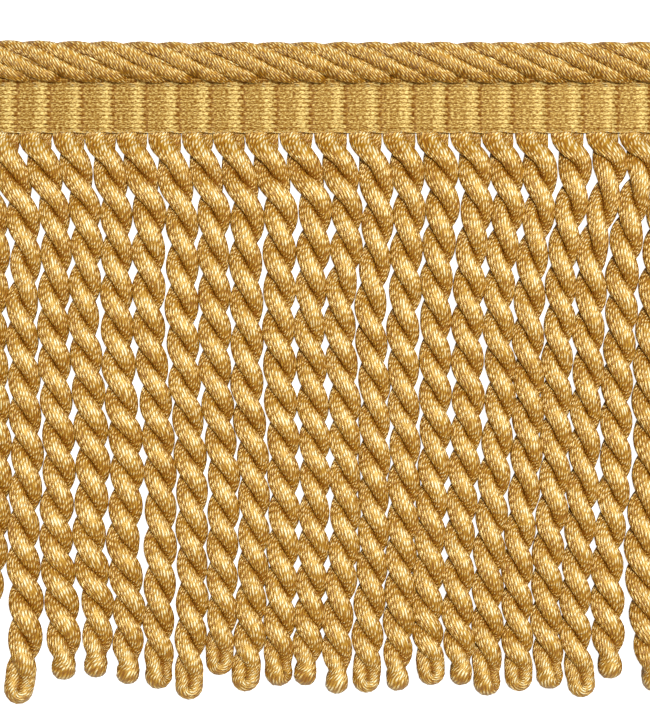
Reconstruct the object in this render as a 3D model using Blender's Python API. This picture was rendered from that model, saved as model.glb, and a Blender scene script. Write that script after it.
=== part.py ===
"""Cord fringe trim: a cut length of twisted cord fringe, laid face up on a flat surface.

Three pieces: a rope along the top edge, a ribbed woven heading below it, and a skirt of
two-ply cords that hang from the heading. +X runs along the trim, +Y points to the rope,
+Z out of its face. The origin is on the surface, under the middle of the trim. Metres.
"""
import math

import bmesh
import bpy
import numpy as np

MM = 0.001
GAP = 0.3 * MM

# The whole trim
LENGTH = 171.0 * MM
DROP = 152.8 * MM
CORDS = 22
PITCH = 7.69 * MM
ROW_SHIFT = -0.4 * MM

# The rope of the top edge: six plies, lying a little flat
ROPE_PLIES = 6
ROPE_HALF_WIDTH = 4.5 * MM
ROPE_HALF_THICKNESS = 3.75 * MM
ROPE_GROOVE = 0.13
ROPE_LAY = ROPE_PLIES * PITCH
ROPE_START_TURN = math.radians(27.0)
ROPE_STEPS_PER_PITCH = 4
ROPE_LIFT = 0.5 * MM
ROPE_LIFT_REACH = 50.0 * MM

# The woven heading: a flat back, and a rib in front of each cord
BAND_HEIGHT = 11.6 * MM
BAND_THICKNESS = 2.9 * MM
RIB_SHAPE = (  # right of the cord's root, height above the band's flat face, in mm
    (-3.3, 0.1),
    (-2.6, 0.9),
    (-0.9, 1.2),
    (0.7, 1.2),
    (2.3, 0.8),
    (3.3, 0.1),
)

# The strip that the cords are fused to, just under the heading
STRIP_HEIGHT = 0.9 * MM
STRIP_THICKNESS = 4.4 * MM

# One cord: a section that is wider than it is deep, turned as it goes down
CORD_HALF_WIDTH = 2.9 * MM
CORD_HALF_DEPTH = 2.14 * MM
ROOT_HALF_WIDTH = 3.05 * MM
ROOT_HALF_DEPTH = 2.0 * MM
RINGS_PER_HALF_TURN = 4
TIP_LOOP = 6.0 * MM
LEAST_LAST_TURN = 1.0 * MM
CLEAR_SHARE = 0.6  # of the gap, kept free on each side of a cord
TIP_SHAPE = ((4.2, 1.0), (1.6, 0.86), (0.0, 0.42))  # mm above the tip, share of full girth
SWELL = 11.0 * MM

# Each cord from left to right, in mm. LEAN_AT are distances below the heading. The first
# nine columns say how far the cord's middle stands right of its even place there, and the
# tenth says it for the tip. Then come the length to the tip, how far down the 1st, 7th
# and 13th groove cross the front, and the half turns from the 1st groove to the tip.
LEAN_AT = (1.2, 8.0, 16.0, 26.0, 43.0, 60.0, 78.0, 95.0, 112.0)
CORD_TABLE = (
    (-0.2, 1.7, 4.6, 5.5, 5.0, 5.6, 5.9, 5.4, 3.0, 2.2, 127.1, 9.2, 62.2, 111.9, 13.0),
    (-0.3, 1.6, 4.2, 5.2, 4.4, 5.0, 5.7, 4.6, 5.5, 3.2, 131.4, 9.7, 64.5, 115.4, 13.0),
    (-0.4, 1.5, 3.9, 4.6, 3.9, 4.5, 5.4, 4.5, 6.3, 6.3, 126.0, 8.5, 60.8, 107.8, 13.5),
    (-0.4, 1.5, 3.4, 4.0, 3.3, 4.4, 5.5, 4.6, 6.7, 5.9, 125.5, 7.8, 59.0, 107.8, 13.5),
    (-0.8, 1.1, 2.8, 3.2, 3.2, 4.2, 5.7, 4.9, 6.1, 5.6, 127.1, 9.7, 61.5, 109.6, 13.5),
    (-1.2, 0.7, 2.6, 3.0, 2.9, 4.3, 5.5, 5.6, 5.3, 5.3, 128.3, 8.8, 61.5, 112.2, 13.25),
    (-1.3, 0.6, 2.4, 3.0, 2.8, 3.8, 5.2, 5.2, 5.1, 4.5, 130.8, 10.8, 65.4, 115.6, 13.0),
    (-1.4, 0.5, 2.3, 2.5, 2.7, 3.1, 4.8, 4.6, 4.4, 3.7, 125.1, 9.0, 62.4, 110.1, 13.0),
    (-1.8, 0.1, 2.3, 2.2, 2.4, 2.7, 4.0, 4.1, 3.4, 1.9, 128.7, 10.1, 66.1, 116.1, 13.0),
    (-1.8, 0.1, 2.3, 2.4, 2.1, 2.5, 3.4, 3.2, 2.5, 2.2, 127.6, 9.4, 61.7, 111.9, 13.25),
    (-1.6, 0.3, 2.7, 2.6, 1.6, 2.3, 2.9, 2.5, 1.5, 0.5, 127.4, 8.5, 62.2, 111.0, 13.5),
    (-1.2, 0.7, 2.5, 2.4, 0.8, 1.9, 2.1, 2.0, 0.5, 0.3, 129.4, 9.0, 61.7, 111.2, 13.5),
    (-0.9, 1.0, 2.0, 1.6, 0.2, 1.1, 1.1, 1.0, -0.2, -0.8, 129.1, 11.1, 66.1, 115.8, 13.0),
    (-0.8, 1.0, 1.7, 1.0, 0.2, 0.2, 0.5, -0.3, -0.8, -1.3, 128.7, 9.0, 62.9, 112.8, 13.5),
    (-0.7, 1.1, 1.6, 0.8, -0.2, -0.1, -0.4, -1.4, -1.9, -0.9, 127.4, 8.1, 60.3, 108.9, 14.0),
    (-0.7, 1.1, 1.7, 0.5, -0.4, -0.2, -1.2, -2.2, -2.5, -1.9, 127.4, 8.3, 60.8, 110.1, 13.5),
    (-1.0, 0.8, 1.4, 0.0, -1.0, -0.5, -1.7, -2.9, -3.5, -3.6, 129.8, 8.8, 61.7, 113.3, 13.25),
    (-0.8, 0.9, 1.0, -0.5, -1.7, -1.7, -2.2, -4.0, -4.3, -3.7, 128.8, 9.2, 64.9, 116.5, 13.0),
    (-0.2, 1.5, 0.7, -1.2, -2.2, -2.8, -3.3, -4.7, -5.4, -4.3, 128.3, 7.4, 60.8, 112.2, 13.25),
    (0.2, 1.9, 0.4, -2.1, -2.9, -3.5, -4.3, -5.5, -6.6, -4.6, 130.2, 6.4, 63.6, 114.9, 13.0),
    (0.1, 1.7, -0.5, -2.4, -3.4, -4.5, -4.6, -6.4, -6.5, -5.8, 125.7, 6.7, 57.6, 108.0, 13.5),
    (-0.1, 1.5, -1.0, -2.1, -3.7, -4.8, -4.5, -6.4, -5.3, -3.2, 128.5, 8.8, 61.7, 111.2, 13.5),
)

# Lustrous gold yarn
ROPE_COLOUR = (0.53, 0.31, 0.08)
HEADING_COLOUR = (0.57, 0.34, 0.09)
CORD_COLOUR = (0.53, 0.32, 0.1)
YARN_ROUGHNESS = 0.5

# Heights in the trim's frame, worked out from the top edge down
TOP = DROP / 2
ROPE_Y = TOP - ROPE_LIFT - ROPE_HALF_WIDTH
BAND_TOP = ROPE_Y - ROPE_HALF_WIDTH - GAP
BAND_LOW = BAND_TOP - BAND_HEIGHT
STRIP_TOP = BAND_LOW - GAP
ROOT_Y = STRIP_TOP - STRIP_HEIGHT


def smooth_curve(stations, values, at):
    """A smooth curve through the stations, read at one place."""
    slopes = np.gradient(values, stations)
    k = int(np.clip(np.searchsorted(stations, at) - 1, 0, len(stations) - 2))
    span = stations[k + 1] - stations[k]
    t = min(max((at - stations[k]) / span, 0.0), 1.0)
    start = (2 * t**3 - 3 * t**2 + 1) * values[k] + (t**3 - 2 * t**2 + t) * span * slopes[k]
    end = (3 * t**2 - 2 * t**3) * values[k + 1] + (t**3 - t**2) * span * slopes[k + 1]
    return start + end


class Cord:
    """One cord's route and twist, from its row of the table. Depths are below the heading."""

    def __init__(self, number, row):
        self.even_x = (number - (CORDS - 1) / 2) * PITCH + ROW_SHIFT
        self.tip = row[10] * MM
        self.stations = np.array([*LEAN_AT, row[10]]) * MM
        self.leans = np.array(row[:10]) * MM
        self.last_turn = row[14]
        self.turns = np.array([-1.0, 0.0, 6.0, 12.0, self.last_turn])
        loop_start = max(self.tip - TIP_LOOP, row[13] * MM + LEAST_LAST_TURN)
        self.turn_depths = np.array([LEAN_AT[0] * MM, *np.array(row[11:14]) * MM, loop_start])

    def x(self, depth):
        return self.even_x + float(smooth_curve(self.stations, self.leans, depth))

    def turn(self, depth):
        return float(np.interp(depth, self.turn_depths, self.turns))

    def ring_depths(self):
        """Rings at even steps of the twist, then those that round off the tip."""
        steps = np.arange(-1.0, self.last_turn, 1.0 / RINGS_PER_HALF_TURN)[1:]
        depths = [float(np.interp(s, self.turns, self.turn_depths)) for s in steps]
        return depths + [self.tip - above * MM for above, _ in TIP_SHAPE]


CORD_LIST = [Cord(number, row) for number, row in enumerate(CORD_TABLE)]


def room(number, depth):
    """Half the way to the nearer neighbour, less half the gap: no cord is thicker."""
    here = CORD_LIST[number].x(depth)
    space = []
    for other in (number - 1, number + 1):
        if 0 <= other < CORDS and depth <= CORD_LIST[other].tip + GAP:
            space.append(abs(CORD_LIST[other].x(depth) - here) / 2 - CLEAR_SHARE * GAP)
    return min(space, default=PITCH)


def girth(number, depth):
    """The cord's section half width and half depth at one place."""
    cord = CORD_LIST[number]
    swell = min((depth - LEAN_AT[0] * MM) / SWELL, 1.0)
    half_width = ROOT_HALF_WIDTH + (CORD_HALF_WIDTH - ROOT_HALF_WIDTH) * swell
    half_depth = ROOT_HALF_DEPTH + (CORD_HALF_DEPTH - ROOT_HALF_DEPTH) * swell
    above_tip = [above * MM for above, _ in TIP_SHAPE][::-1]
    shares = [share for _, share in TIP_SHAPE][::-1]
    share = float(np.interp(cord.tip - depth, above_tip, shares))
    share = min(share, room(number, depth) / math.hypot(half_width, half_depth))
    return half_width * share, half_depth * share


def ring_points(number, depth):
    """Four corners of the cord's section, level with the depth, resting on the surface."""
    half_width, half_depth = girth(number, depth)
    angle = -math.pi * (CORD_LIST[number].turn(depth) + 1.0)
    reach = math.hypot(half_width, half_depth)
    middle = (CORD_LIST[number].x(depth), reach)
    corners = []
    for across, up in ((1, 1), (-1, 1), (-1, -1), (1, -1)):
        a, b = across * half_width, up * half_depth
        corners.append((
            middle[0] + a * math.cos(angle) - b * math.sin(angle),
            BAND_LOW - depth,
            middle[1] + a * math.sin(angle) + b * math.cos(angle),
        ))
    return corners


def new_object(name, bm, material):
    """Close the bmesh into an object of its own with its material."""
    bmesh.ops.recalc_face_normals(bm, faces=bm.faces)
    mesh = bpy.data.meshes.new(name)
    bm.to_mesh(mesh)
    bm.free()
    mesh.materials.append(material)
    obj = bpy.data.objects.new(name, mesh)
    bpy.context.collection.objects.link(obj)
    return obj


def yarn(name, colour):
    material = bpy.data.materials.new(name)
    material.use_nodes = True
    shader = material.node_tree.nodes["Principled BSDF"]
    shader.inputs["Base Color"].default_value = (*colour, 1.0)
    shader.inputs["Roughness"].default_value = YARN_ROUGHNESS
    shader.inputs["Metallic"].default_value = 0.0
    return material


def rope_lift(x):
    """The top edge rises a little towards the left end."""
    t = min(max((-x - LENGTH / 2 + ROPE_LIFT_REACH) / ROPE_LIFT_REACH, 0.0), 1.0)
    return ROPE_LIFT * t


def edge_rope(material):
    """Rings of crests and grooves, turned a little from each to the next."""
    bm = bmesh.new()
    steps = round(LENGTH / PITCH * ROPE_STEPS_PER_PITCH)
    points = 2 * ROPE_PLIES
    rings = []
    for k in range(steps + 1):
        x = -LENGTH / 2 + LENGTH * k / steps
        turn = ROPE_START_TURN + 2 * math.pi * x / ROPE_LAY
        ring = []
        for j in range(points):
            angle = turn + 2 * math.pi * j / points
            share = 1.0 - ROPE_GROOVE * (j % 2)
            y = ROPE_Y + rope_lift(x) + ROPE_HALF_WIDTH * share * math.cos(angle)
            z = ROPE_HALF_THICKNESS * (1.0 + share * math.sin(angle))
            ring.append(bm.verts.new((x, y, z)))
        rings.append(ring)
    for here, there in zip(rings, rings[1:]):
        for j in range(points):
            n = (j + 1) % points
            bm.faces.new((here[j], here[n], there[j]))
            bm.faces.new((here[n], there[n], there[j]))
    bm.faces.new(rings[0])
    bm.faces.new(rings[-1])
    return new_object("edge_rope", bm, material)


def heading_band(material):
    """The ribbed outline of the band's cross section, extruded over its height."""
    outline = [(-LENGTH / 2, 0.0), (-LENGTH / 2, BAND_THICKNESS)]
    for cord in CORD_LIST:
        root = cord.x(LEAN_AT[0] * MM)
        for right, above in RIB_SHAPE:
            outline.append((root + right * MM, BAND_THICKNESS + above * MM))
    outline += [(LENGTH / 2, BAND_THICKNESS), (LENGTH / 2, 0.0)]
    bm = bmesh.new()
    face = bm.faces.new([bm.verts.new((x, BAND_LOW, z)) for x, z in outline])
    grown = bmesh.ops.extrude_face_region(bm, geom=[face])
    moved = [item for item in grown["geom"] if isinstance(item, bmesh.types.BMVert)]
    bmesh.ops.translate(bm, verts=moved, vec=(0.0, BAND_HEIGHT, 0.0))
    return new_object("heading_band", bm, material)


def cord_skirt(material):
    """A narrow strip whose lower face carries the root of every cord, and the cords."""
    bm = bmesh.new()
    half = PITCH / 2
    roots = [cord.x(LEAN_AT[0] * MM) for cord in CORD_LIST]
    edges = [roots[0] - half]
    edges += [(a + b) / 2 for a, b in zip(roots, roots[1:])]
    edges.append(roots[-1] + half)
    rows = []
    for x in edges:
        rows.append([
            bm.verts.new((x, y, z))
            for y, z in (
                (ROOT_Y, 0.0),
                (ROOT_Y, STRIP_THICKNESS),
                (STRIP_TOP, STRIP_THICKNESS),
                (STRIP_TOP, 0.0),
            )
        ])
    bm.faces.new(rows[0])
    bm.faces.new(rows[-1])
    for number, (left, right) in enumerate(zip(rows, rows[1:])):
        for j in (1, 2, 3):
            n = (j + 1) % 4
            bm.faces.new((left[j], left[n], right[n], right[j]))
        frame = (right[1], left[1], left[0], right[0])
        ring = [bm.verts.new(p) for p in ring_points(number, LEAN_AT[0] * MM)]
        for j in range(4):
            n = (j + 1) % 4
            bm.faces.new((frame[j], frame[n], ring[n], ring[j]))
        for depth in CORD_LIST[number].ring_depths():
            below = [bm.verts.new(p) for p in ring_points(number, depth)]
            for j in range(4):
                n = (j + 1) % 4
                bm.faces.new((ring[j], ring[n], below[n]))
                bm.faces.new((ring[j], below[n], below[j]))
            ring = below
        bm.faces.new(ring)
    return new_object("bullion_skirt", bm, material)


def main():
    for obj in list(bpy.data.objects):
        bpy.data.objects.remove(obj, do_unlink=True)
    edge_rope(yarn("rope_yarn", ROPE_COLOUR))
    heading_band(yarn("heading_weave", HEADING_COLOUR))
    cord_skirt(yarn("cord_yarn", CORD_COLOUR))


main()
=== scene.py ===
"""The looks of a cut length of twisted cord fringe, laid face up on a white table.

Everything is in metres. +X runs along the trim, +Y points to its rope edge, +Z to the
camera. The rope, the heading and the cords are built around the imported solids.
"""
import math

import bpy
import numpy as np
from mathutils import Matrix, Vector


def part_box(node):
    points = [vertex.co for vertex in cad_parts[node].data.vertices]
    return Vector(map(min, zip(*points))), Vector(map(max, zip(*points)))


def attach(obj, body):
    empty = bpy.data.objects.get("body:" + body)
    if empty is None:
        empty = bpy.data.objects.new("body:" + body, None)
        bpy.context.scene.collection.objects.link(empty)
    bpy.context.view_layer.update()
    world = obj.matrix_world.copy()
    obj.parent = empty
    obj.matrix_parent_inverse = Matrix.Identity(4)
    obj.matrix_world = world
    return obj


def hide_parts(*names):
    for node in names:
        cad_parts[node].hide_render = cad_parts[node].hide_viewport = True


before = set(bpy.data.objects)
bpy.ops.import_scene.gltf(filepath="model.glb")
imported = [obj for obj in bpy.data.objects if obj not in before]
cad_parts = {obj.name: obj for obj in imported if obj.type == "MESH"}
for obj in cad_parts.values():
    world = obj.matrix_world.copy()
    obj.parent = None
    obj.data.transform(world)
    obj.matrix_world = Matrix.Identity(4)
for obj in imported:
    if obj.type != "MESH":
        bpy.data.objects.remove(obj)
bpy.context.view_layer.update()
MM = 0.001

# Table and camera. The trim lies flat on a white light table, and the camera looks
# straight down on it. The picture is 722 pixels high, and one of its pixels covers
# 0.2303 mm of the trim.
PICTURE_HEIGHT = 722
PIXEL = 0.2303 * MM
FACE_HEIGHT = 5.0 * MM
LENS = 120.0
SENSOR = 36.0
CLIP_START = 0.01
VIEW_CENTRE = (0.92 * MM, 2.16 * MM)
WHITE = (1.0, 1.0, 1.0, 1.0)
TABLE_SIZE = 3.0
TABLE_BELOW = 0.2 * MM
TABLE_GREY = (0.55, 0.55, 0.55, 1.0)
TABLE_ROUGHNESS = 0.9
TABLE_GLOW = 0.12  # on the trim, while the camera sees a plain white table
KEY_LIGHT = ((0.15, 0.17, 1.15), 0.3, 17.0)  # place, size, watts
SIDE_LIGHT = ((0.6, 0.5, 0.8), 0.5, 1.5)
ROOM_LIGHT = 0.32

bpy.ops.object.select_all(action="DESELECT")
view_distance = PICTURE_HEIGHT * PIXEL * LENS / SENSOR
bpy.ops.object.camera_add(location=(*VIEW_CENTRE, FACE_HEIGHT + view_distance), rotation=(0, 0, 0))
camera = bpy.context.object
camera.data.lens = LENS
camera.data.sensor_width = SENSOR
camera.data.clip_start = CLIP_START
bpy.context.scene.camera = camera

bpy.ops.mesh.primitive_plane_add(size=TABLE_SIZE, location=(0, 0, -TABLE_BELOW))
table = bpy.context.object
table.name = "table"
table_finish = bpy.data.materials.new("table_white")
table_finish.use_nodes = True
nodes = table_finish.node_tree.nodes
links = table_finish.node_tree.links
shader = nodes["Principled BSDF"]
shader.inputs["Base Color"].default_value = TABLE_GREY
shader.inputs["Roughness"].default_value = TABLE_ROUGHNESS
shader.inputs["Emission Color"].default_value = WHITE
seen = nodes.new("ShaderNodeLightPath")
glow = nodes.new("ShaderNodeMapRange")
glow.inputs["To Min"].default_value = TABLE_GLOW
glow.inputs["To Max"].default_value = 1.0
links.new(seen.outputs["Is Camera Ray"], glow.inputs["Value"])
links.new(glow.outputs["Result"], shader.inputs["Emission Strength"])
table.data.materials.append(table_finish)


def soft_box(name, place, size, watts):
    """A square studio light at a place, turned to the middle of the trim."""
    bpy.ops.object.light_add(type="AREA", location=place)
    light = bpy.context.object
    light.name = name
    light.data.size = size
    light.data.energy = watts
    light.rotation_euler = (-Vector(place)).to_track_quat("-Z", "Y").to_euler()


soft_box("key_light", *KEY_LIGHT)
soft_box("side_light", *SIDE_LIGHT)
world = bpy.data.worlds.new("studio")
world.use_nodes = True
world.node_tree.nodes["Background"].inputs["Color"].default_value = WHITE
world.node_tree.nodes["Background"].inputs["Strength"].default_value = ROOM_LIGHT
bpy.context.scene.world = world
bpy.context.scene.view_settings.view_transform = "Standard"

# Skirt cords. Each is one long rayon yarn, folded at its tip and twisted back on itself
# into a two-ply cord. The yarn is itself twisted from many threads, which run nearly
# straight down the cord's face. Depths are measured down from the heading's lower edge.
CORDS = 22
PITCH = 7.69 * MM
ROW_SHIFT = -0.4 * MM
HEADING_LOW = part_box("heading_band")[0].y
PLY_RADIUS = 2.0 * MM  # from the cord's middle line to the middle of a ply
PLY_OUT = 2.05 * MM  # half width of a ply away from the cord's middle line
PLY_SIDE = 2.36 * MM  # half width of a ply to the side of that
CORD_RADIUS = 3.85 * MM
LEAST_GIRTH = 0.92  # share of the radius where neighbours crowd a cord
GIRTH_BLUR = 4  # rings each way
GROOVE_SHIFT = 0.7 * MM
FIRST_TURN = -0.72  # half turns at the heading, counted from the 1st groove
TURN_BLUR = 2  # rings each way
STEP = 0.85 * MM  # between the rings of a yarn
HIDDEN_START = -1.2 * MM  # inside the heading
THREADS = 18
THREAD_SHAPE = ((0.0, 0.94), (0.32, 1.0), (0.68, 1.0))  # place across a thread, share of the radius
THREAD_TURN = 150.0  # radians per metre of yarn
THREAD_SWELLS = ((330.0, 0.022), (900.0, 0.016))  # radians per metre, share of the radius
PAINTED_HIGHLIGHT_SIDE = np.array((0.28, 0.16, 0.947))  # the side painted lighter, a painted highlight from the key light
HIGHLIGHT_FROM = 0.84
PAINTED_GROOVE_SHADE = 1.15  # how much darker the side facing the neighbours is painted, painted shade in the grooves
GROOVE_SHADE_REACH = 0.8
ROOT_FLATTENED = 0.38  # share of the height at the heading
ROOT_REACH = 6.2 * MM
ROOT_GIRTH = 0.97
ROOT_WIDER = 1.33
SLUB_EVERY = 4.0 * MM
SLUB_SIZE = 0.02
SLUB_WANDER = 0.12 * MM
TIP_STRAIGHT = 6.4 * MM  # above the tip, where the twist ends
LEAST_LAST_TURN = 1.0 * MM
TIP_REACH = 9.0 * MM
TIP_SQUEEZE = 0.72
TIP_ROUND = 1.1
TIP_BALL = 0.17
TIP_BALL_REACH = 2.6 * MM
NECK = 0.12
NECK_ABOVE = 1.1  # above the ball, in its reaches
NECK_SHARPNESS = 4
TIP_GROOVES = 0.5  # share of the depth of the grooves between threads
TIP_THREAD_TURN = 380.0
TIP_PAST = 0.6 * MM
LOOP_STEPS = 8
CORD_SEED = 40
PATTERN_APART = 7  # yarns between the patterns of two neighbours

# A row for each cord from left to right, in mm. The first nine columns say how far the
# cord's middle stands right of its even place at the depths LEAN_AT, and the tenth says
# it for the tip. Then come the tip's depth, how deep the 1st, 4th, 7th, 10th and 13th
# groove cross the front, and the half turns from the 1st groove to the tip.
LEAN_AT = (1.2, 8.0, 16.0, 26.0, 43.0, 60.0, 78.0, 95.0, 112.0)
CORD_TABLE = (
    (-0.2, 1.7, 4.6, 5.5, 5.0, 5.6, 5.9, 5.4, 3.0, 2.2, 127.1, 9.2, 36.2, 62.2, 87.6, 111.9, 13.0),
    (-0.3, 1.6, 4.2, 5.2, 4.4, 5.0, 5.7, 4.6, 5.5, 3.2, 131.4, 9.7, 38.3, 64.5, 90.6, 115.4, 13.0),
    (-0.4, 1.5, 3.9, 4.6, 3.9, 4.5, 5.4, 4.5, 6.3, 6.3, 126.0, 8.5, 35.6, 60.8, 85.5, 107.8, 13.5),
    (-0.4, 1.5, 3.4, 4.0, 3.3, 4.4, 5.5, 4.6, 6.7, 5.9, 125.5, 7.8, 33.7, 59.0, 84.2, 107.8, 13.5),
    (-0.8, 1.1, 2.8, 3.2, 3.2, 4.2, 5.7, 4.9, 6.1, 5.6, 127.1, 9.7, 36.0, 61.5, 85.5, 109.6, 13.5),
    (-1.2, 0.7, 2.6, 3.0, 2.9, 4.3, 5.5, 5.6, 5.3, 5.3, 128.3, 8.8, 35.6, 61.5, 86.2, 112.2, 13.25),
    (-1.3, 0.6, 2.4, 3.0, 2.8, 3.8, 5.2, 5.2, 5.1, 4.5, 130.8, 10.8, 39.2, 65.4, 90.6, 115.6, 13.0),
    (-1.4, 0.5, 2.3, 2.5, 2.7, 3.1, 4.8, 4.6, 4.4, 3.7, 125.1, 9.0, 36.5, 62.4, 86.7, 110.1, 13.0),
    (-1.8, 0.1, 2.3, 2.2, 2.4, 2.7, 4.0, 4.1, 3.4, 1.9, 128.7, 10.1, 38.8, 66.1, 92.0, 116.1, 13.0),
    (-1.8, 0.1, 2.3, 2.4, 2.1, 2.5, 3.4, 3.2, 2.5, 2.2, 127.6, 9.4, 35.8, 61.7, 86.9, 111.9, 13.25),
    (-1.6, 0.3, 2.7, 2.6, 1.6, 2.3, 2.9, 2.5, 1.5, 0.5, 127.4, 8.5, 35.6, 62.2, 87.2, 111.0, 13.5),
    (-1.2, 0.7, 2.5, 2.4, 0.8, 1.9, 2.1, 2.0, 0.5, 0.3, 129.4, 9.0, 34.9, 61.7, 87.4, 111.2, 13.5),
    (-0.9, 1.0, 2.0, 1.6, 0.2, 1.1, 1.1, 1.0, -0.2, -0.8, 129.1, 11.1, 39.2, 66.1, 91.8, 115.8, 13.0),
    (-0.8, 1.0, 1.7, 1.0, 0.2, 0.2, 0.5, -0.3, -0.8, -1.3, 128.7, 9.0, 36.0, 62.9, 89.5, 112.8, 13.5),
    (-0.7, 1.1, 1.6, 0.8, -0.2, -0.1, -0.4, -1.4, -1.9, -0.9, 127.4, 8.1, 33.7, 60.3, 84.8, 108.9, 14.0),
    (-0.7, 1.1, 1.7, 0.5, -0.4, -0.2, -1.2, -2.2, -2.5, -1.9, 127.4, 8.3, 34.9, 60.8, 84.8, 110.1, 13.5),
    (-1.0, 0.8, 1.4, 0.0, -1.0, -0.5, -1.7, -2.9, -3.5, -3.6, 129.8, 8.8, 35.6, 61.7, 87.8, 113.3, 13.25),
    (-0.8, 0.9, 1.0, -0.5, -1.7, -1.7, -2.2, -4.0, -4.3, -3.7, 128.8, 9.2, 38.1, 64.9, 91.8, 116.5, 13.0),
    (-0.2, 1.5, 0.7, -1.2, -2.2, -2.8, -3.3, -4.7, -5.4, -4.3, 128.3, 7.4, 35.1, 60.8, 87.8, 112.2, 13.25),
    (0.2, 1.9, 0.4, -2.1, -2.9, -3.5, -4.3, -5.5, -6.6, -4.6, 130.2, 6.4, 36.5, 63.6, 90.8, 114.9, 13.0),
    (0.1, 1.7, -0.5, -2.4, -3.4, -4.5, -4.6, -6.4, -6.5, -5.8, 125.7, 6.7, 32.8, 57.6, 83.2, 108.0, 13.5),
    (-0.1, 1.5, -1.0, -2.1, -3.7, -4.8, -4.5, -6.4, -5.3, -3.2, 128.5, 8.8, 35.7, 61.7, 87.0, 111.2, 13.5),
)


class Shade:
    """A number or colour in a material. Sums and products of numbers add Math nodes."""

    def __init__(self, finish, socket):
        self.finish = finish
        self.socket = socket

    def math(self, operation, *others):
        return self.finish.node("Math", {"operation": operation}, *others)

    def __add__(self, other):
        return self.math("ADD", self, other)

    def __sub__(self, other):
        return self.math("SUBTRACT", self, other)

    def __mul__(self, other):
        return self.math("MULTIPLY", self, other)

    def __rsub__(self, other):
        return self.math("SUBTRACT", other, self)

    __radd__ = __add__
    __rmul__ = __mul__


class Finish:
    """A material under way: node() adds one node and gives its first output as a Shade."""

    def __init__(self, name):
        self.material = bpy.data.materials.new(name)
        self.material.use_nodes = True
        self.tree = self.material.node_tree
        self.shader = self.tree.nodes["Principled BSDF"]

    def set(self, socket, value):
        if isinstance(value, Shade):
            self.tree.links.new(value.socket, socket)
        else:
            socket.default_value = value

    def node(self, kind, settings=None, *values, output=0, **named):
        made = self.tree.nodes.new("ShaderNode" + kind)
        for key, value in (settings or {}).items():
            if key == "stops":
                ramp = made.color_ramp.elements
                for place, (position, colour) in enumerate(value):
                    stop = ramp[place] if place < 2 else ramp.new(position)
                    stop.position = position
                    stop.color = colour
            else:
                setattr(made, key, value)
        for place, value in enumerate(values):
            self.set(made.inputs[place], value)
        for key, value in named.items():
            self.set(made.inputs[key.replace("_", " ")], value)
        return Shade(self, made.outputs[output])

    def across_and_along(self):
        place = self.tree.nodes.new("ShaderNodeTexCoord").outputs["UV"]
        parts = self.tree.nodes.new("ShaderNodeSeparateXYZ")
        self.tree.links.new(place, parts.inputs[0])
        return Shade(self, parts.outputs[0]), Shade(self, parts.outputs[1])

    def three_colours(self, tone, low, high, deep, middle, light):
        """Deep, middle and light colours for a tone that goes from low to high."""
        spread = self.node("MapRange", None, Value=tone, From_Min=low, From_Max=high)
        stops = ((0.0, (*deep, 1.0)), (1.0, (*light, 1.0)), (0.5, (*middle, 1.0)))
        return self.node("ValToRGB", {"stops": stops}, spread)

    def surface(self, **values):
        for key, value in values.items():
            self.set(self.shader.inputs[key.replace("_", " ")], value)


def yarn_finish(name, deep, middle, light):
    """Glossy rayon. The UV map counts threads across and millimetres along the yarn. Each
    thread is itself twisted into short slanting dash-shaped bumps, which are also painted
    into the colour as glints with painted shade between them, and each thread's middle is
    painted lighter than its edges as painted shade between threads. The point attribute
    read here is a painted highlight where the yarn faces the light, and painted shade in
    the grooves where it faces its neighbours."""
    finish = Finish(name)
    across, along = finish.across_and_along()
    thread = across.math("FLOOR", across)
    inside = across - thread
    crest = inside * (1 - inside) * 4
    own = finish.node("TexWhiteNoise", {"noise_dimensions": "1D"}, W=thread)
    drift_place = finish.node("CombineXYZ", None, thread * 3.7, along * 0.3, 0.0)
    drift = finish.node("TexNoise", None, Vector=drift_place, Scale=1.0, Detail=1.0)
    turns = along * 0.66 - inside * 0.35 + own + drift * 2.6
    twist = turns * (2 * math.pi)
    # The twist makes real bumps; in the colour it also makes painted glints with painted shade between
    # them.
    twist_bumps_and_glints = (twist.math("COSINE", twist) * 0.5 + 0.5) * crest
    hair_place = finish.node("CombineXYZ", None, across * 4.0, along * 1.0, 3.0)
    hairs = finish.node("TexNoise", None, Vector=hair_place, Scale=1.0, Detail=3.0, Roughness=0.65)
    solid = finish.node("TexCoord", output=3)
    patches = finish.node("TexNoise", None, Vector=solid, Scale=160.0, Detail=2.0)
    # A painted highlight on the lit side and painted shade in the grooves, from the tube.
    painted_light = finish.node("Attribute", {"attribute_name": "painted_light"}, output=2)
    # In the tone, the twist and crest terms are painted glints and painted shade between threads; the hair
    # and patch noise is the yarn's own tone.
    tone = twist_bumps_and_glints * 0.58 + crest * 0.12 + hairs * 0.9 + patches * 0.3 + painted_light * 0.3
    colour = finish.three_colours(tone, 0.64, 1.46, deep, middle, light)
    relief = crest * 0.2 + twist_bumps_and_glints * 0.8 + hairs * 0.7
    bump = finish.node("Bump", None, Strength=1.0, Distance=0.22 * MM, Height=relief)
    finish.surface(
        Base_Color=colour,
        Roughness=finish.node("MapRange", None, Value=hairs, To_Min=0.46, To_Max=0.34),
        Normal=bump,
    )
    finish.shader.inputs["IOR"].default_value = 1.75
    finish.shader.inputs["Specular IOR Level"].default_value = 1.0
    finish.shader.inputs["Specular Tint"].default_value = (1.0, 0.84, 0.42, 1.0)
    return finish.material


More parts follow.
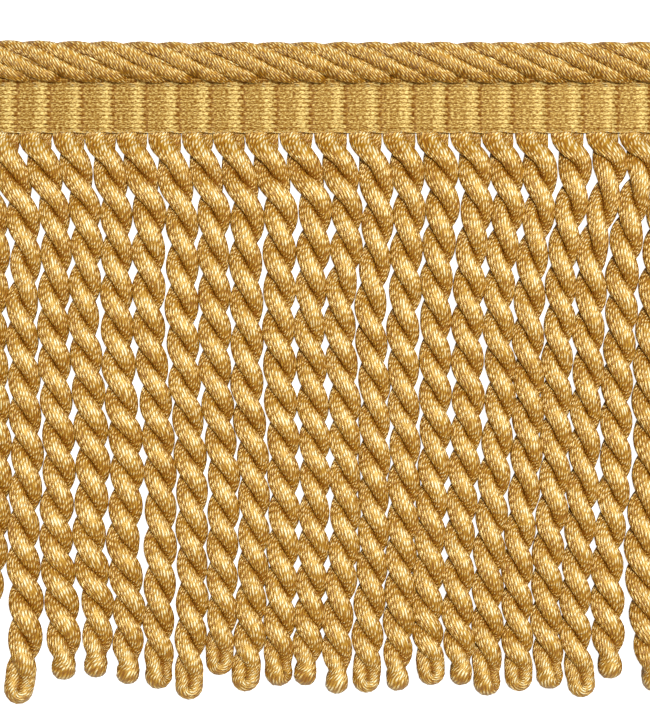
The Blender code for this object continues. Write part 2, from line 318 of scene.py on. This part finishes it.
def smooth_curve(stations, values, at):
    """A smooth curve through the stations, read at many places."""
    slopes = np.gradient(values, stations)
    k = np.clip(np.searchsorted(stations, at) - 1, 0, len(stations) - 2)
    span = stations[k + 1] - stations[k]
    t = np.clip((at - stations[k]) / span, 0.0, 1.0)
    start = (2 * t**3 - 3 * t**2 + 1) * values[k] + (t**3 - 2 * t**2 + t) * span * slopes[k]
    end = (3 * t**2 - 2 * t**3) * values[k + 1] + (t**3 - t**2) * span * slopes[k + 1]
    return start + end


def unit(rows):
    return rows / np.linalg.norm(rows, axis=-1, keepdims=True)


def without(rows, along):
    """The rows less their part along unit rows."""
    return rows - (rows * along).sum(-1, keepdims=True) * along


def blurred(values, reach):
    """A moving average over a number of samples each way."""
    window = np.ones(2 * reach + 1) / (2 * reach + 1)
    return np.convolve(np.pad(values, reach, mode="edge"), window, mode="valid")


def soft_step(t):
    t = np.clip(t, 0.0, 1.0)
    return t * t * (3 - 2 * t)


def tube_wall(across, along):
    """Faces and UVs of a tube's wall. Its rings of points follow each other along it, and
    across has one value more than a ring has points."""
    ring = len(across) - 1
    k, j = np.meshgrid(np.arange(len(along) - 1), np.arange(ring), indexing="ij")
    n = (j + 1) % ring
    quads = np.stack([k * ring + j, k * ring + n, (k + 1) * ring + n, (k + 1) * ring + j], -1)
    corners = ((j, k), (j + 1, k), (j + 1, k + 1), (j, k + 1))
    quad_uv = np.stack([np.stack([across[a], along[b]], -1) for a, b in corners], 2)
    return quads.reshape(-1, 4), quad_uv.reshape(-1, 4, 2)


def threaded_tube(
    path, outward, half_out, half_side, threads, thread_turn, chance, cut=None, highlight_side=PAINTED_HIGHLIGHT_SIDE
):
    """Points, faces, UVs and painted light of a yarn: its threads wind round it as ridges, and
    both its ends are closed. The section's half widths are outward and to the side of that,
    and cut says how deep the grooves between the threads are at each place. The painted
    light is lighter where the yarn faces the given lit side, a painted highlight, and darker
    where it faces its neighbours, painted shade in the grooves."""
    count = len(path)
    cut = np.ones(count) if cut is None else cut
    tangent = unit(np.gradient(path, axis=0))
    carried = np.empty_like(path)
    carried[0] = unit(without(outward[:1], tangent[:1]))[0]
    for k in range(1, count):
        carried[k] = unit(without(carried[k - 1:k], tangent[k:k + 1]))[0]
    crossed = np.cross(tangent, carried)
    out = unit(without(outward, tangent))
    side = np.cross(tangent, out)
    turned = np.arctan2((out * crossed).sum(1), (out * carried).sum(1))
    steps = np.linalg.norm(np.diff(path, axis=0), axis=1)
    length = np.concatenate([[0.0], np.cumsum(steps)])
    around = np.array([(n + place) / threads for n in range(threads) for place, _ in THREAD_SHAPE])
    share = np.array([part for _ in range(threads) for _, part in THREAD_SHAPE])
    waves = chance.uniform(0, 2 * math.pi, (len(THREAD_SWELLS), threads))
    swell = np.zeros((count, threads))
    for wave, (per_metre, size) in zip(waves, THREAD_SWELLS):
        swell += size * np.sin(wave[None, :] + length[:, None] * per_metre)
    swell = np.repeat(swell, len(THREAD_SHAPE), axis=1)
    wound = np.concatenate([[0.0], np.cumsum(np.broadcast_to(thread_turn, count)[1:] * steps)])
    angle = 2 * math.pi * around[None, :] + wound[:, None] - turned[:, None]
    reach = 1 - (1 - share[None, :]) * cut[:, None] + swell
    a = (half_out[:, None] * reach * np.cos(angle))[..., None] * out[:, None, :]
    b = (half_side[:, None] * reach * np.sin(angle))[..., None] * side[:, None, :]
    rings = path[:, None, :] + a + b
    # Painted light: lighter where the yarn faces the lit side as a painted highlight, darker where it
    # faces its neighbours as painted shade in the grooves.
    highlight_facing = np.cos(angle) * (out @ highlight_side)[:, None]
    highlight_facing += np.sin(angle) * (side @ highlight_side)[:, None]
    highlight_mask = soft_step((highlight_facing - HIGHLIGHT_FROM) / (1 - HIGHLIGHT_FROM))
    groove_shade_mask = soft_step(-np.cos(angle) / GROOVE_SHADE_REACH)
    painted_light = np.append((highlight_mask - PAINTED_GROOVE_SHADE * groove_shade_mask).reshape(-1), (0.0, 0.0))
    ring = len(around)
    points = np.concatenate([rings.reshape(-1, 3), path[:1], path[-1:]])
    across = np.append(around, 1.0) * threads
    quads, quad_uv = tube_wall(across, length / MM)
    j = np.arange(ring)
    n = (j + 1) % ring
    last = (count - 1) * ring
    caps = np.concatenate([
        np.stack([n, j, np.full(ring, count * ring)], -1),
        np.stack([last + j, last + n, np.full(ring, count * ring + 1)], -1),
    ])
    cap_uv = np.zeros((2 * ring, 3, 2))
    cap_uv[:, :, 0] = np.concatenate([across[:-1], across[:-1]])[:, None]
    return points, quads, quad_uv, caps, cap_uv, painted_light


def smooth_piece(name, points, faces, uv, material):
    """One smooth object in place, with its UV map and material."""
    mesh = bpy.data.meshes.new(name)
    mesh.from_pydata(points, [], faces)
    mesh.uv_layers.new(name="threads").uv.foreach_set("vector", uv.astype(np.float32).ravel())
    mesh.polygons.foreach_set("use_smooth", np.ones(len(faces), dtype=bool))
    mesh.materials.append(material)
    piece = bpy.data.objects.new(name, mesh)
    bpy.context.scene.collection.objects.link(piece)
    return piece


def yarn_piece(name, tubes, material, node, thread_shift=0.0):
    """One object from threaded tubes, which rides on the part and stands for a node of it.
    The shift gives each piece its own pattern of threads."""
    points, faces, uvs, painted_lights, start = [], [], [], [], 0
    for tube_points, quads, quad_uv, caps, cap_uv, painted_light in tubes:
        points.append(tube_points)
        painted_lights.append(painted_light)
        faces += (quads + start).tolist() + (caps + start).tolist()
        uvs += [quad_uv.reshape(-1, 2), cap_uv.reshape(-1, 2)]
        start += len(tube_points)
    uv = np.concatenate(uvs) + (thread_shift, thread_shift)
    piece = smooth_piece(name, np.concatenate(points), faces, uv, material)
    # The painted highlight and painted groove shade go on as a point attribute.
    painted_light_layer = piece.data.attributes.new("painted_light", "FLOAT", "POINT")
    painted_light_layer.data.foreach_set("value", np.concatenate(painted_lights).astype(np.float32))
    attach(piece, "root")
    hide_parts(node)
    return piece


class Cord:
    """One cord's route and twist, from its row of the table."""

    def __init__(self, number, row):
        *leans, tip = row[:11]
        *grooves, half_turns = row[11:]
        self.even_x = (number - (CORDS - 1) / 2) * PITCH + ROW_SHIFT
        self.tip = tip * MM
        self.stations = np.array([*LEAN_AT, tip]) * MM
        self.leans = np.array(leans) * MM
        loop_start = max(self.tip - TIP_STRAIGHT, grooves[-1] * MM + LEAST_LAST_TURN)
        self.turns = np.array([FIRST_TURN, 0.0, 3.0, 6.0, 9.0, 12.0, half_turns])
        self.turn_depths = np.array([LEAN_AT[0] * MM, *np.array(grooves) * MM, loop_start])

    def x(self, depth):
        return self.even_x + smooth_curve(self.stations, self.leans, depth)


cord_rows = [Cord(number, row) for number, row in enumerate(CORD_TABLE)]


def cord_girth(number, depth):
    """A cord is pressed narrower where its neighbours crowd it."""
    cord = cord_rows[number]
    space = np.full(len(depth), PITCH)
    for other in (number - 1, number + 1):
        if 0 <= other < CORDS:
            gap = np.abs(cord_rows[other].x(depth) - cord.x(depth))
            space = np.where(depth < cord_rows[other].tip, np.minimum(space, gap), space)
    return blurred(np.clip(space / 2 / CORD_RADIUS, LEAST_GIRTH, 1.0), GIRTH_BLUR)


def cord_yarn(number, chance):
    """The whole yarn of one cord: down one ply, round the loop at the tip, up the other."""
    cord = cord_rows[number]
    loop_centre = cord.tip + TIP_PAST - PLY_OUT * TIP_ROUND - PLY_RADIUS * TIP_SQUEEZE
    depth = np.linspace(HIDDEN_START, loop_centre, round((loop_centre - HIDDEN_START) / STEP))
    settled = soft_step(depth / ROOT_REACH)
    girth = cord_girth(number, depth) * (ROOT_GIRTH + (1 - ROOT_GIRTH) * settled)
    slubs = np.arange(HIDDEN_START, loop_centre + SLUB_EVERY, SLUB_EVERY)
    girth *= 1 + np.interp(depth, slubs, chance.normal(0, SLUB_SIZE, len(slubs)))
    wander = np.interp(depth, slubs, chance.normal(0, SLUB_WANDER, len(slubs))) * settled
    axis = np.stack([cord.x(depth) + wander, HEADING_LOW - depth, girth * CORD_RADIUS], -1)
    down = unit(np.gradient(axis, axis=0))
    across = unit(without(np.tile((1.0, 0.0, 0.0), (len(depth), 1)), down))
    up = np.cross(across, down)
    up *= np.sign(up[:, 2:3])
    turn = blurred(np.interp(depth - GROOVE_SHIFT, cord.turn_depths, cord.turns), TURN_BLUR)
    angle = -math.pi * (turn + 1.0)
    out = np.cos(angle)[:, None] * across + np.sin(angle)[:, None] * up
    near_tip = soft_step(1 - (loop_centre - depth) / TIP_REACH)
    radius = (girth * PLY_RADIUS * (1 - (1 - TIP_SQUEEZE) * near_tip))[:, None]
    half = np.linspace(0, math.pi, LOOP_STEPS + 1)[1:-1]
    bend = np.cos(half)[:, None] * out[-1] + np.sin(half)[:, None] * down[-1]
    round_tip = axis[-1] + radius[-1] * bend
    path = np.concatenate([axis + radius * out, round_tip, (axis - radius * out)[::-1]])
    outward = np.concatenate([out, bend, -out[::-1]])
    size = np.concatenate([girth, np.full(len(half), girth[-1]), girth[::-1]])
    above_ball = (loop_centre - depth) / TIP_BALL_REACH
    wider = ROOT_WIDER + (1 - ROOT_WIDER) * settled
    wider += TIP_BALL * soft_step(1 - above_ball)
    wider -= NECK * np.exp(-((above_ball - NECK_ABOVE) ** 2) * NECK_SHARPNESS)
    wider = np.concatenate([wider, np.full(len(half), wider[-1]), wider[::-1]])
    half_side = size * wider * PLY_SIDE
    bent = np.concatenate([np.zeros(len(depth)), np.sin(half), np.zeros(len(depth))])
    half_out = size * PLY_OUT * (1 + (TIP_ROUND - 1) * bent)
    close = np.concatenate([near_tip, np.ones(len(half)), near_tip[::-1]])
    cut = 1 - (1 - TIP_GROOVES) * close
    thread_turn = THREAD_TURN + (TIP_THREAD_TURN - THREAD_TURN) * close
    tube = threaded_tube(path, outward, half_out, half_side, THREADS, thread_turn, chance, cut)
    points = tube[0]
    below = HEADING_LOW - points[:, 1]
    points[:, 2] *= ROOT_FLATTENED + (1 - ROOT_FLATTENED) * soft_step(below / ROOT_REACH)
    points[:, 2] = np.maximum(points[:, 2], 0.0)
    return tube


cord_gold = yarn_finish("cord_gold", (0.23, 0.068, 0.0), (0.54, 0.285, 0.02), (0.98, 0.87, 0.54))
for number in range(CORDS):
    luck = np.random.default_rng(CORD_SEED + number)
    piece = yarn_piece(
        f"cord_{number + 1:02d}",
        [cord_yarn(number, luck)],
        cord_gold,
        "bullion_skirt",
        thread_shift=float(PATTERN_APART * THREADS * number),
    )

# Rope edge. Six plies of the same yarn are laid round a soft core, and the rope is sewn
# along the heading's upper edge. Every second rib a stitch tucks it in, and its left end
# stands a little higher.
ROPE_PLIES = 6
ROPE_LAY = ROPE_PLIES * PITCH
ROPE_HALF_WIDTH = 4.85 * MM
ROPE_OVERLAP = 0.4 * MM
ROPE_HALF_THICKNESS = 3.75 * MM
ROPE_FLATNESS = 0.7
ROPE_PLY_OUT = 1.6 * MM
ROPE_PLY_SIDE = 1.52 * MM
ROPE_HIGHLIGHT_SIDE = np.array((0.15, 0.6, 0.786))  # the side painted lighter, a painted highlight on the rope's top as if lit from above
ROPE_THREADS = 14
ROPE_THREAD_TURN = 420.0
ROPE_START_TURN = math.radians(44.0)
PAIR_TURN = math.radians(2.0)  # by which two neighbouring plies lean together
FACE_STEEPER = 0.22  # how much more steeply a ply crosses the face
BACK_NARROWER = 0.16
TUCK_EVERY = 2 * PITCH
TUCK_PLACE = -44.1 * MM
TUCK_DROP = 3.6 * MM  # below the rope's middle line
TUCK_DEPTH = 3.0 * MM
TUCK_REACH = 0.9 * MM
ROPE_CORE_SHARE = 0.57
CORE_EVERY = 3  # rings of a ply to one of the core
ROPE_STEP = 0.9 * MM
ROPE_LIFT = 0.5 * MM
ROPE_LIFT_REACH = 50.0 * MM
HEADING_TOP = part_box("heading_band")[1].y
ROPE_MIDDLE = HEADING_TOP + ROPE_HALF_WIDTH - ROPE_OVERLAP
LEFT_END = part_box("heading_band")[0].x
RIGHT_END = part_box("heading_band")[1].x
ROPE_SEED = 70
ROPE_PATTERN_APART = 5

rope_gold = yarn_finish("rope_gold", (0.12, 0.024, 0.0), (0.54, 0.25, 0.004), (1.0, 0.88, 0.45))
rope_x = np.linspace(LEFT_END, RIGHT_END, round((RIGHT_END - LEFT_END) / ROPE_STEP))
rope_lift = ROPE_LIFT * np.clip((ROPE_LIFT_REACH - (rope_x - LEFT_END)) / ROPE_LIFT_REACH, 0, 1)
full = np.ones(len(rope_x))
middle = np.stack([rope_x, ROPE_MIDDLE + rope_lift, full * ROPE_HALF_THICKNESS], -1)
for ply in range(ROPE_PLIES):
    angle = ROPE_START_TURN + 2 * math.pi * (rope_x / ROPE_LAY + ply / ROPE_PLIES)
    angle += PAIR_TURN * (1 - 2 * (ply % 2)) - FACE_STEEPER * np.cos(angle)
    rise = np.sign(np.sin(angle)) * np.abs(np.sin(angle)) ** ROPE_FLATNESS
    away = np.stack([
        np.zeros(len(rope_x)),
        np.cos(angle) * (ROPE_HALF_WIDTH - ROPE_PLY_OUT),
        rise * (ROPE_HALF_THICKNESS - ROPE_PLY_OUT),
    ], -1)
    tube = threaded_tube(
        middle + away,
        away,
        full * ROPE_PLY_OUT,
        full * ROPE_PLY_SIDE * (1 + BACK_NARROWER * np.sin(angle)),
        ROPE_THREADS,
        ROPE_THREAD_TURN,
        np.random.default_rng(ROPE_SEED + ply),
        # The rope's painted highlight lies on its top, as if lit from above.
        highlight_side=ROPE_HIGHLIGHT_SIDE,
    )
    points = tube[0]
    along = (points[:, 0] - TUCK_PLACE + TUCK_EVERY / 2) % TUCK_EVERY - TUCK_EVERY / 2
    up = points[:, 1] - (ROPE_MIDDLE - TUCK_DROP)
    near = np.exp(-(along**2 + up**2) / TUCK_REACH**2)
    points[:, 2] -= TUCK_DEPTH * near * (points[:, 2] > ROPE_HALF_THICKNESS)
    piece = yarn_piece(
        f"rope_ply_{ply + 1}",
        [tube],
        rope_gold,
        "edge_rope",
        thread_shift=float(ROPE_PATTERN_APART * ROPE_THREADS * ply),
    )

core_middle = middle[::CORE_EVERY]
core_full = full[::CORE_EVERY] * ROPE_CORE_SHARE
core = threaded_tube(
    core_middle,
    np.tile((0.0, 0.0, 1.0), (len(core_middle), 1)),
    core_full * ROPE_HALF_THICKNESS,
    core_full * ROPE_HALF_WIDTH,
    ROPE_THREADS,
    THREAD_TURN,
    np.random.default_rng(ROPE_SEED + ROPE_PLIES),
)
yarn_piece("rope_core", [core], rope_gold, "edge_rope")

# Woven heading. Fine rayon weft is packed tightly over the turns of cord, which show as
# ribs that rise slowly from the left, crest right of the cord's root and fall steeply.
# Its upper edge is tucked under the rope, and its back is flatter than its face.
WEFT_ROWS = 12
WEFT_SHAPE = ((0.0, -0.32), (0.2, -0.06), (0.5, 0.03), (0.8, -0.06))  # place across a row, height in mm
ROW_SHIFTS = (-0.28 * MM, 0.28 * MM)  # of every other row along the heading
ROW_WANDER = 0.08  # mm
PLAIN_DIP = 0.45  # how deep the rows are away from where they float
DIP_PLACE = 0.08  # right of the float, in pitches
DIP_END = 0.352
DIP_FADE = 0.16
FLAT_FACE = 2.7 * MM
EDGE_ROWS = 0.9
EDGE_DROP = 0.5 * MM  # over those rows at both edges
TUCKED_ROWS = ((0.15, 3.6), (0.5, 4.2), (1.0, 3.2))  # above the upper edge, height, in mm
TUCKED_BACK = (0.9, 0.3)
LOWER_EDGE = (0.12, 0.4, 0.72)  # shares of the flat face's height
LOWER_EDGE_BELOW = 0.05 * MM
RIB_SHAPE = (  # right of the cord's root, height above the flat face, in mm
    (-3.2, 0.25),
    (-1.0, 0.66),
    (0.6, 1.0),
    (1.2, 1.13),
    (1.7, 1.17),
    (2.2, 1.12),
    (2.8, 0.75),
    (3.2, 0.3),
    (3.45, 0.0),
)
BACK_SHAPE = ((0.0, 0.12), (0.5, 0.0))  # place across a row, height in mm
HEADING_STEP = 0.42 * MM
FLOAT_PLACE = 0.225  # right of the cord's root, in pitches, as the next
DIVE_PLACE = 0.45
HEADING_SEED = 11

heading_x = np.linspace(LEFT_END, RIGHT_END, round((RIGHT_END - LEFT_END) / HEADING_STEP))
root_x = np.array([float(cord.x(np.array([LEAN_AT[0] * MM]))[0]) for cord in cord_rows])
rib_x = np.concatenate([root + np.array([right for right, _ in RIB_SHAPE]) * MM for root in root_x])
rib_z = np.tile([above for _, above in RIB_SHAPE], CORDS) * MM
order = np.argsort(rib_x)


def rib_height(x):
    return blurred(np.interp(x, rib_x[order], rib_z[order]), 1)


row_height = (HEADING_TOP - HEADING_LOW) / WEFT_ROWS


def weft_finish(name, deep, middle, light):
    """The heading's weft. The UV map counts rows across and ribs along, from cord root to
    cord root. Each row passes over the right of a rib as a lens, then sinks between two
    ribs. The lens is glossier and painted lighter, a painted highlight, the sinking part
    darker, painted shade between the ribs, and each row's middle lighter than its edges,
    painted shade between rows. Its lowest row ends in a pale edge thread."""
    finish = Finish(name)
    across, along = finish.across_and_along()
    row = across.math("FLOOR", across)
    inside = across - row
    crest = inside * (1 - inside) * 4
    chance = finish.node("CombineXYZ", None, row * 5.3, along * 0.9, 9.0)
    uneven = finish.node("TexNoise", None, Vector=chance, Scale=1.0, Detail=1.0)
    stagger = (row * 0.5 - across.math("FLOOR", row * 0.5)) * 0.1 + uneven * 0.16 - 0.105

    def away_from(place):
        """The distance to the nearest such place, in pitches."""
        moved = along - stagger - place
        return moved.math("ABSOLUTE", moved - moved.math("ROUND", moved))

    # The lenses are real relief and lower roughness, and in the colour a painted highlight; the sinks
    # between ribs are real relief, and in the colour painted shade.
    past_lens = away_from(FLOAT_PLACE) - (crest * 0.11 + 0.085)
    floats_and_painted_highlight = finish.node("MapRange", None, Value=past_lens, From_Min=0.05, From_Max=-0.06)
    past_wedge = away_from(DIVE_PLACE) - (0.09 - crest * 0.05)
    dives_and_painted_shade = finish.node("MapRange", None, Value=past_wedge, From_Min=0.05, From_Max=-0.03)
    edge = finish.node("MapRange", None, Value=across, From_Min=0.42, From_Max=0.3)
    hair_place = finish.node("CombineXYZ", None, across * 4.0, along * 11.0, 5.0)
    hairs = finish.node("TexNoise", None, Vector=hair_place, Scale=1.0, Detail=3.0, Roughness=0.7)
    # In the tone, the lens term is a painted highlight, the sink and row crest terms painted shade; the
    # hair noise is the weft's own tone.
    tone = floats_and_painted_highlight * (crest * 0.1 + 0.08) - dives_and_painted_shade * 0.2 + edge * 0.2 + crest * 0.2
    tone = tone + hairs * 2.7 - 1.05
    colour = finish.three_colours(tone, 0.16, 0.79, deep, middle, light)
    relief = crest * (floats_and_painted_highlight * 0.6 + 0.35) + hairs * 0.6 - dives_and_painted_shade * 0.5
    bump = finish.node("Bump", None, Strength=1.0, Distance=0.2 * MM, Height=relief)
    finish.surface(Base_Color=colour, Roughness=0.42 - floats_and_painted_highlight * 0.1, Normal=bump)
    finish.shader.inputs["Specular IOR Level"].default_value = 0.7
    finish.shader.inputs["Specular Tint"].default_value = (1.0, 0.79, 0.3, 1.0)
    return finish.material


ribs_along = np.interp(heading_x, root_x, np.arange(CORDS))
ribs_along += np.minimum(heading_x - root_x[0], 0) / PITCH
ribs_along += np.maximum(heading_x - root_x[-1], 0) / PITCH
from_rib = ribs_along - FLOAT_PLACE - np.round(ribs_along - FLOAT_PLACE)
floating = soft_step((DIP_END - np.abs(from_rib - DIP_PLACE)) / DIP_FADE)
dip = PLAIN_DIP + (1 - PLAIN_DIP) * floating
loop_y, loop_z, loop_v = [], [], []
wander = np.random.default_rng(HEADING_SEED)
for row in range(WEFT_ROWS):
    shift = ROW_SHIFTS[row % 2] + wander.normal(0, ROW_WANDER) * MM
    face = FLAT_FACE + rib_height(heading_x + shift)
    for place, above in WEFT_SHAPE:
        loop_y.append(HEADING_LOW + (row + place) * row_height)
        edge = min(row + place, WEFT_ROWS - row - place) / EDGE_ROWS
        loop_z.append(face + above * dip * MM - EDGE_DROP * max(0.0, 1.0 - edge))
        loop_v.append(row + place)
for above, height in TUCKED_ROWS:
    loop_y.append(HEADING_TOP + above * MM)
    loop_z.append(np.full(len(heading_x), height * MM))
    loop_v.append(WEFT_ROWS - 0.02)
loop_y.append(HEADING_TOP + TUCKED_BACK[0] * MM)
loop_z.append(np.full(len(heading_x), TUCKED_BACK[1] * MM))
loop_v.append(WEFT_ROWS + 2.0)
for row in reversed(range(WEFT_ROWS)):
    for place, above in reversed(BACK_SHAPE):
        loop_y.append(HEADING_LOW + (row + place) * row_height)
        loop_z.append(np.full(len(heading_x), above * MM))
        loop_v.append(2 * WEFT_ROWS + 1 - row - place)
for height in LOWER_EDGE:
    loop_y.append(HEADING_LOW - LOWER_EDGE_BELOW)
    loop_z.append(np.full(len(heading_x), FLAT_FACE * height))
    loop_v.append(2 * WEFT_ROWS + 2 + height)

around = len(loop_y)
columns = len(heading_x)
heading_points = np.stack([
    np.repeat(heading_x, around),
    np.tile(loop_y, columns),
    np.stack(loop_z, -1).reshape(-1),
], -1)
heading_quads, heading_uv = tube_wall(np.append(loop_v, 2 * WEFT_ROWS + 3.0), ribs_along)
heading_faces = heading_quads.tolist()
left_cut = list(range(around))
heading_faces.append(left_cut[::-1])
heading_faces.append([(columns - 1) * around + i for i in left_cut])
heading_uv = np.concatenate([heading_uv.reshape(-1, 2), np.zeros((2 * around, 2))])
heading_gold = weft_finish("heading_gold", (0.13, 0.03, 0.0), (0.31, 0.155, 0.018), (0.66, 0.5, 0.18))
heading = smooth_piece("woven_heading", heading_points, heading_faces, heading_uv, heading_gold)
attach(heading, "root")
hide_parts("heading_band")

# Tacking stitches. A pale sewing thread tacks the rope to the heading at every rib and
# pulls it in at every second one. Another runs along the heading's lower edge, over the
# roots of the cords. Both are thin plied threads.
TACK_THREADS = 3
TACK_RADIUS = 0.17 * MM
TACK_ARCH = 0.25 * MM
TACK_ROWS = ((0.45, 1.0), (0.95, 0.7))  # below the rope, share of the full length, in mm
TACK_SPAN = (-0.9, 1.9)  # right of the cord's root, in mm
TACK_POINTS = 9
TACK_THREAD_TURN = 600.0
TACK_SWAY = 0.25  # mm along the heading
TACK_UNEVEN = 0.08  # mm across it
TACK_BOW = 0.3
EDGE_POINTS = 240
EDGE_ABOVE = 0.12 * MM
EDGE_SWAY = 0.12 * MM
EDGE_SUNK = 0.32 * MM
TACK_SEED = 90


def tack(path, radius, luck):
    """A short round thread along a path, for yarn_piece."""
    up = np.tile((0.0, 0.0, 1.0), (len(path), 1))
    size = np.full(len(path), radius)
    return threaded_tube(path, up, size, size, TACK_THREADS, TACK_THREAD_TURN, luck)


luck = np.random.default_rng(TACK_SEED)
tacks = []
for root in root_x:
    for below, share in TACK_ROWS:
        x = np.linspace(TACK_SPAN[0] * share, TACK_SPAN[1] * share, TACK_POINTS) * MM + root
        x += luck.normal(0, TACK_SWAY) * MM
        arch = np.sin(np.linspace(0, math.pi, TACK_POINTS)) * TACK_ARCH * 2 - TACK_ARCH
        y = HEADING_TOP - (below + luck.normal(0, TACK_UNEVEN)) * MM + arch * TACK_BOW
        tacks.append(tack(np.stack([x, y, FLAT_FACE + rib_height(x) + arch], -1), TACK_RADIUS, luck))
edge_x = np.linspace(LEFT_END, RIGHT_END, EDGE_POINTS)
edge_ribs = np.interp(edge_x, root_x, np.arange(CORDS)) * 2 * math.pi
edge_y = HEADING_LOW + EDGE_ABOVE + np.cos(edge_ribs) * EDGE_SWAY
edge_z = FLAT_FACE + rib_height(edge_x) - EDGE_SUNK
tacks.append(tack(np.stack([edge_x, edge_y, edge_z], -1), TACK_RADIUS, luck))
tack_gold = yarn_finish("tack_gold", (0.4, 0.17, 0.01), (0.78, 0.5, 0.13), (0.98, 0.88, 0.55))
yarn_piece("tacking_stitches", tacks, tack_gold, "edge_rope")
